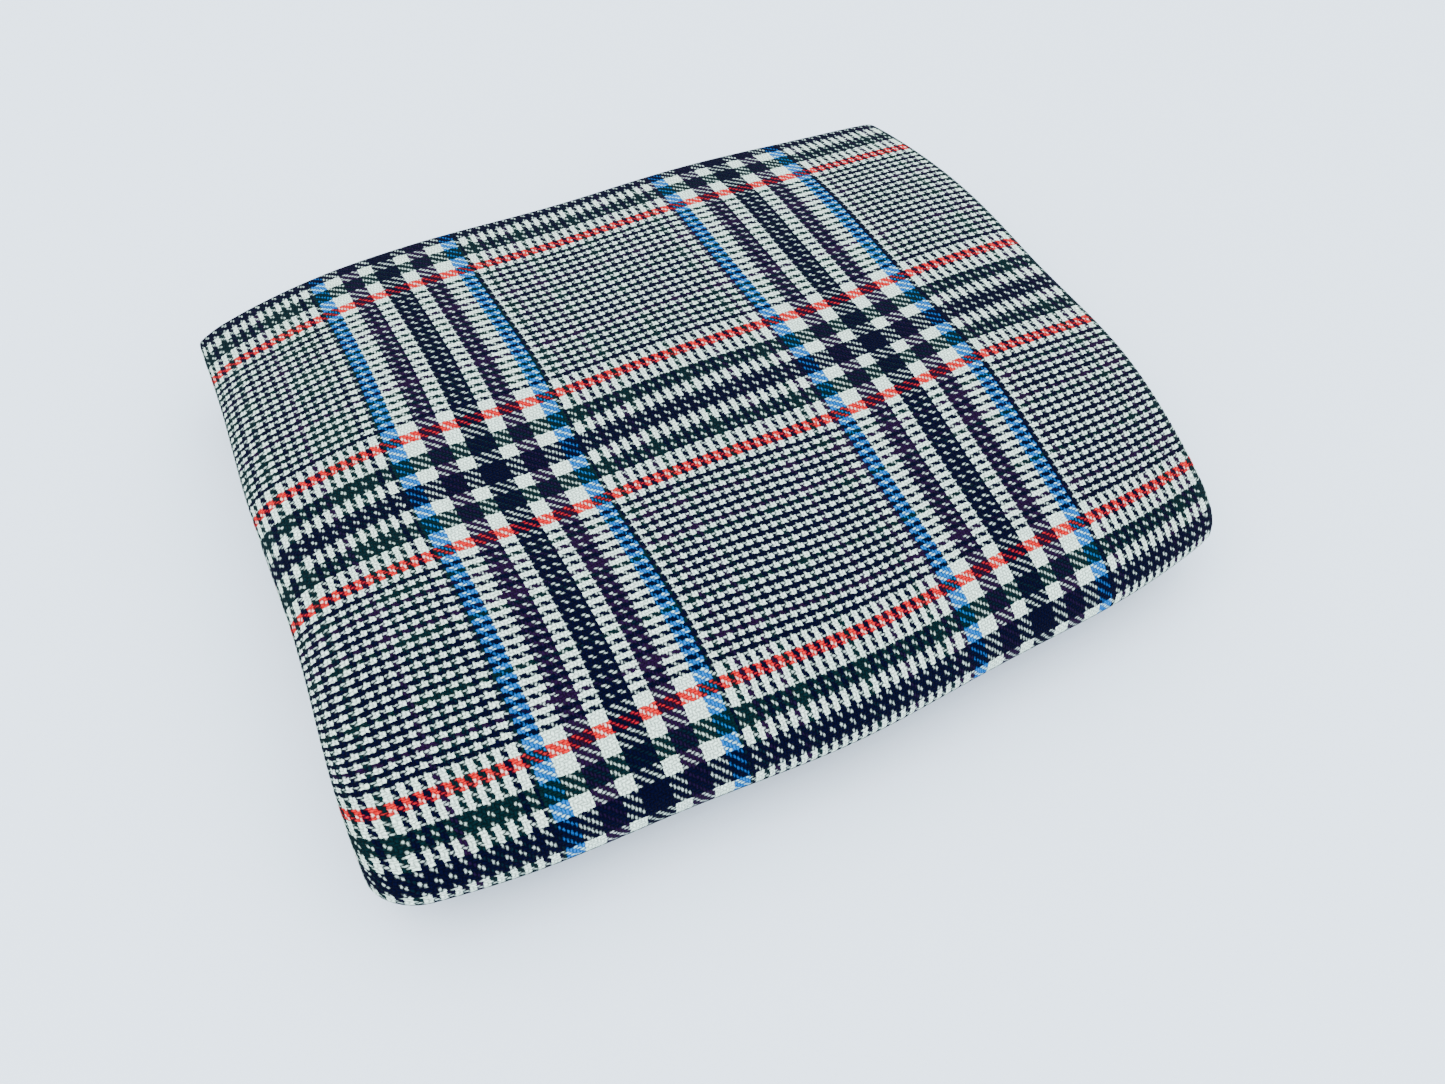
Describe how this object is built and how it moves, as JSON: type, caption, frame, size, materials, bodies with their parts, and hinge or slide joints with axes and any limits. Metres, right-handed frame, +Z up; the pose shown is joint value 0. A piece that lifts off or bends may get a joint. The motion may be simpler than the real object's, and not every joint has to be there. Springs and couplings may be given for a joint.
{
  "type": "folded camp blanket",
  "caption": "Plaid woven camp blanket folded into a thick soft pad, with its last fold at the front opening like a book.",
  "frame": {"origin": "middle of the folded pad's underside", "axes": "+X across the pad's width, along the front fold; +Y from the front fold to the back; +Z up"},
  "size_m": [0.3326, 0.2913, 0.0591],
  "materials": {
    "plaid_cloth": "brushed twill, glen check in cream, black, blue and red",
    "hem_thread": "matt spun sewing thread"
  },
  "bodies": {
    "lower_half": {"lower_outer_panel": "plaid_cloth", "lower_second_panel": "plaid_cloth", "lower_third_panel": "plaid_cloth", "lower_inner_panel": "plaid_cloth", "lower_left_outer_fold": "plaid_cloth", "lower_left_inner_fold": "plaid_cloth", "lower_right_fold": "plaid_cloth", "foot_hem": "plaid_cloth", "foot_hem_thread": "hem_thread", "front_outer_panel_bend": "plaid_cloth", "front_second_panel_bend": "plaid_cloth", "front_third_panel_bend": "plaid_cloth", "front_inner_panel_bend": "plaid_cloth", "front_left_outer_fold_bend": "plaid_cloth", "front_left_inner_fold_bend": "plaid_cloth", "front_right_fold_bend": "plaid_cloth"},
    "upper_half": {"upper_outer_panel": "plaid_cloth", "upper_second_panel": "plaid_cloth", "upper_third_panel": "plaid_cloth", "upper_inner_panel": "plaid_cloth", "upper_left_outer_fold": "plaid_cloth", "upper_left_inner_fold": "plaid_cloth", "upper_right_fold": "plaid_cloth", "head_hem": "plaid_cloth", "head_hem_thread": "hem_thread"}
  },
  "joints": [
    {"name": "book_fold", "type": "hinge", "parent": "lower_half", "child": "upper_half", "pos_m": [0, -0.1161, 0.02955], "axis": [1, 0, 0], "range_deg": [0, 180], "deforming": ["front_outer_panel_bend", "front_second_panel_bend", "front_third_panel_bend", "front_inner_panel_bend", "front_left_outer_fold_bend", "front_left_inner_fold_bend", "front_right_fold_bend"]}
  ]
}
